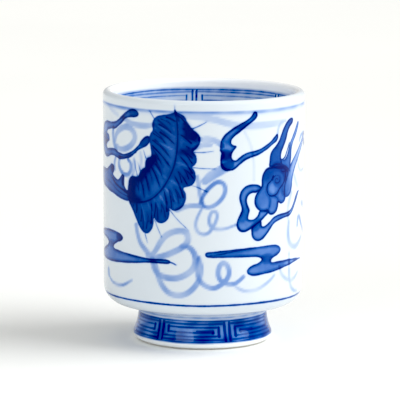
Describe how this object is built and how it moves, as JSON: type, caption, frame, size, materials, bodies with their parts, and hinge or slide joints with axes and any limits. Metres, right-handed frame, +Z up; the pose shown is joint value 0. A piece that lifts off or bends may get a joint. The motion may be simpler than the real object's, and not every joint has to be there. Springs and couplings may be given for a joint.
{
  "type": "teacup",
  "caption": "Tall straight-sided porcelain teacup without a handle, on a high flared foot ring, glazed over blue painted bands and lines.",
  "frame": {"origin": "centre of the foot ring, on the plane that the cup stands on", "axes": "+Z up along the cup's axis of revolution; -Y is the side with the main painting, and +X is to its right"},
  "size_m": [0.07, 0.07, 0.0875],
  "materials": {
    "porcelain": "unglazed fired porcelain, matte",
    "slip": "fired joining slip, matte",
    "glaze": "clear, faintly blue glaze, glossy",
    "cobalt": "cobalt blue painting under the glaze"
  },
  "bodies": {
    "root": {"body": "porcelain", "foot_ring": "porcelain", "luting_slip": "slip", "outer_glaze": "glaze", "inner_glaze": "glaze", "foot_glaze": "glaze", "recess_glaze": "glaze", "painted_lip_line": "cobalt", "painted_base_line": "cobalt", "painted_mouth_band": "cobalt", "painted_foot_band": "cobalt"}
  },
  "joints": []
}
